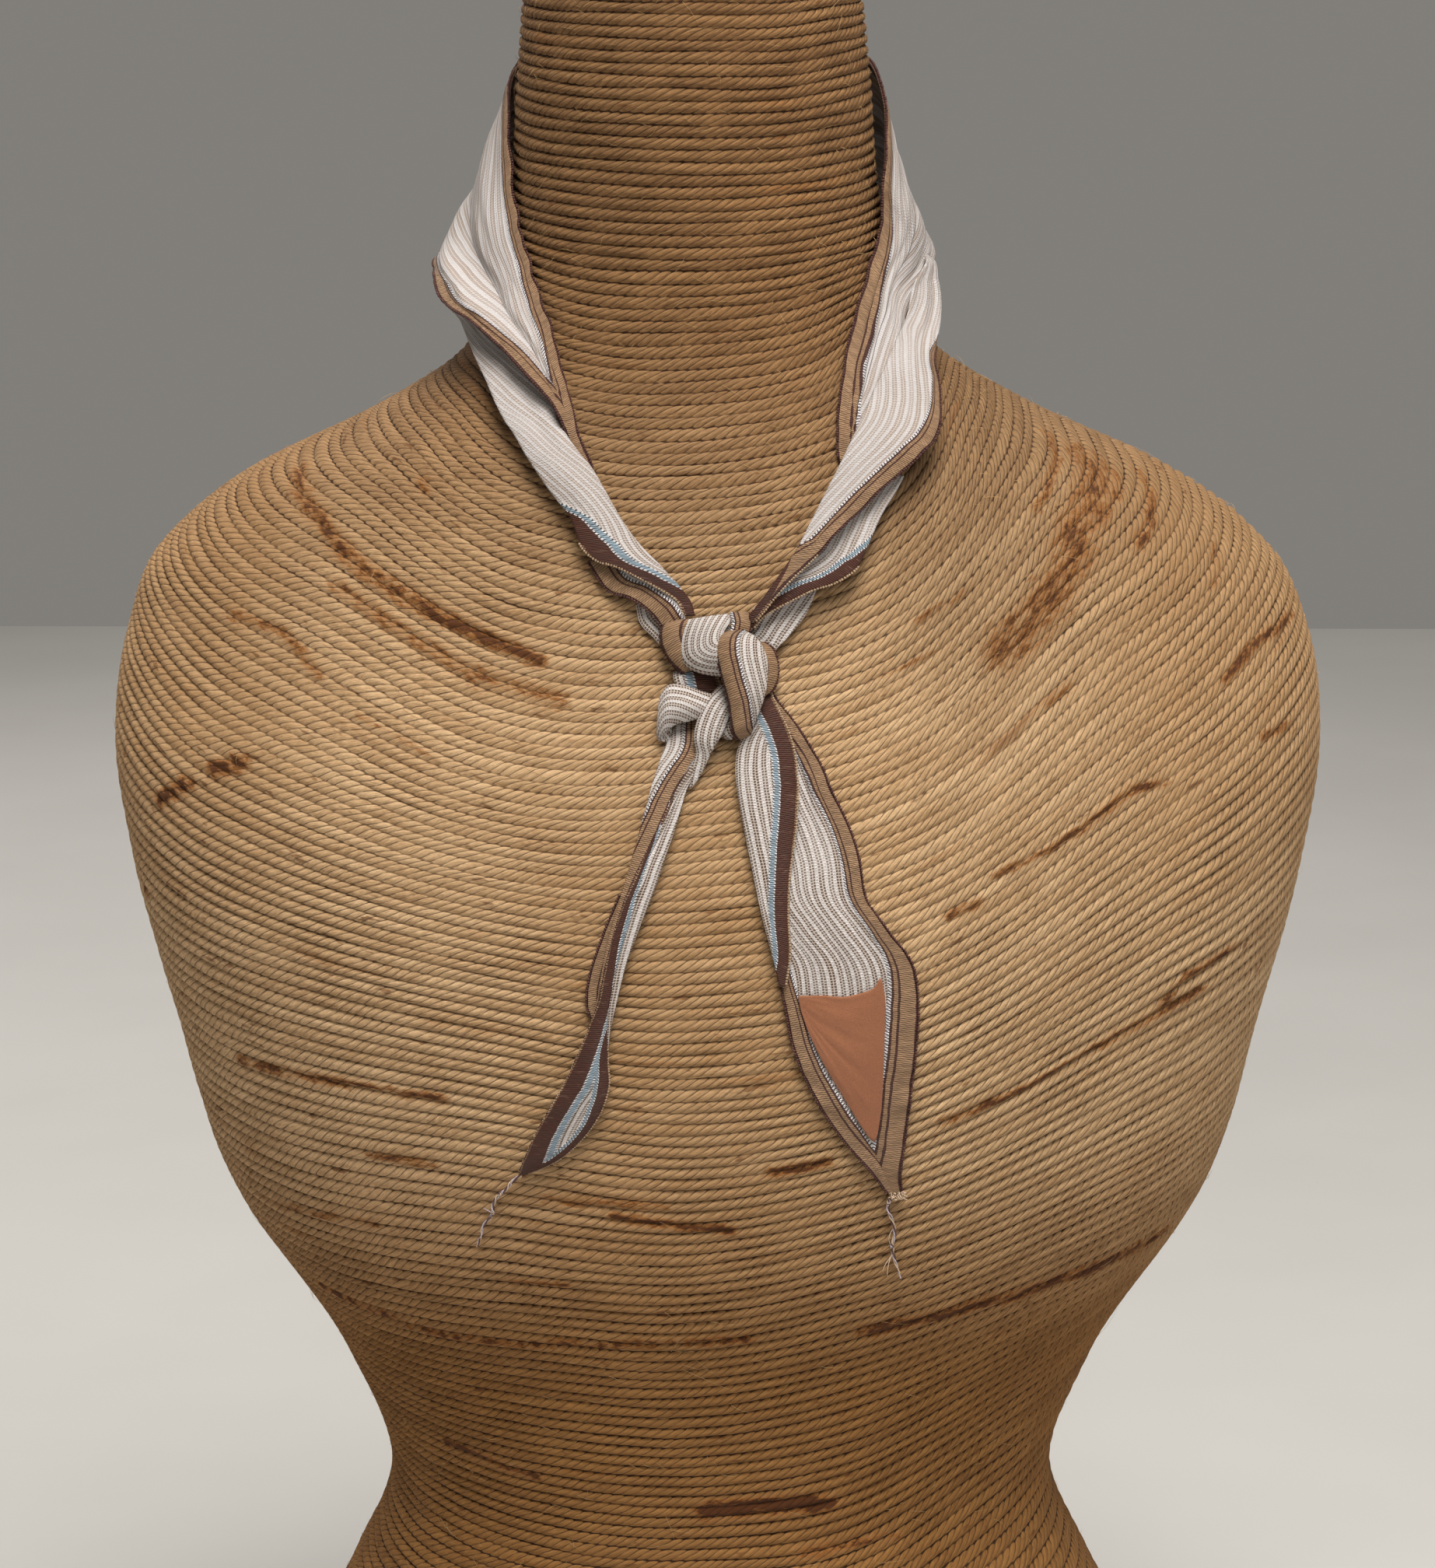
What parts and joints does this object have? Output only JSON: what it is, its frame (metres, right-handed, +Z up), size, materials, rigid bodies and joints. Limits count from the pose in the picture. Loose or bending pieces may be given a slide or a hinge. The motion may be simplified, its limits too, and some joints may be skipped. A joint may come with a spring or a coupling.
{
  "type": "neck scarf on dress form",
  "caption": "Narrow striped neck scarf with overlocked edges, wound round the neck of a limbless dress form and knotted at the breast, its two pointed tails hanging apart.",
  "frame": {"origin": "middle of the dress form's flat underside, where the part stands", "axes": "+Z up along the dress form, -Y out of the chest (the front), +X to the viewer's right when facing the front"},
  "size_m": [0.3938, 0.2457, 0.722],
  "materials": {
    "striped_cotton": "matt woven cotton with fine white and taupe stripes",
    "overlock_edge": "satin overlock stitching in tan and dark brown thread",
    "suede_label": "matt suede, blank",
    "thread": "twisted sewing thread",
    "jute_winding": "rough twisted jute twine wound in rows"
  },
  "bodies": {
    "root": {"form_body": "jute_winding", "scarf_left_upper": "striped_cotton", "scarf_nape": "striped_cotton", "scarf_right_inner": "striped_cotton", "scarf_right_outer": "striped_cotton", "scarf_right_middle": "striped_cotton", "scarf_right_lower": "striped_cotton", "scarf_left_lower": "striped_cotton", "scarf_left_under": "overlock_edge", "scarf_left_sliver": "striped_cotton", "knot_core": "striped_cotton", "knot_upper_lobe": "striped_cotton", "knot_front_loop": "overlock_edge", "knot_right_loop": "overlock_edge", "knot_top_turn": "overlock_edge", "knot_left_turn": "overlock_edge", "knot_lower_lobe": "striped_cotton", "knot_lower_turn": "striped_cotton", "knot_centre_strand": "striped_cotton", "knot_small_curl": "striped_cotton", "tail_left": "overlock_edge", "tail_left_flap": "overlock_edge", "tail_right": "striped_cotton", "tail_right_fold": "overlock_edge", "tail_label": "suede_label", "chain_left": "thread", "chain_right": "thread"}
  },
  "joints": []
}
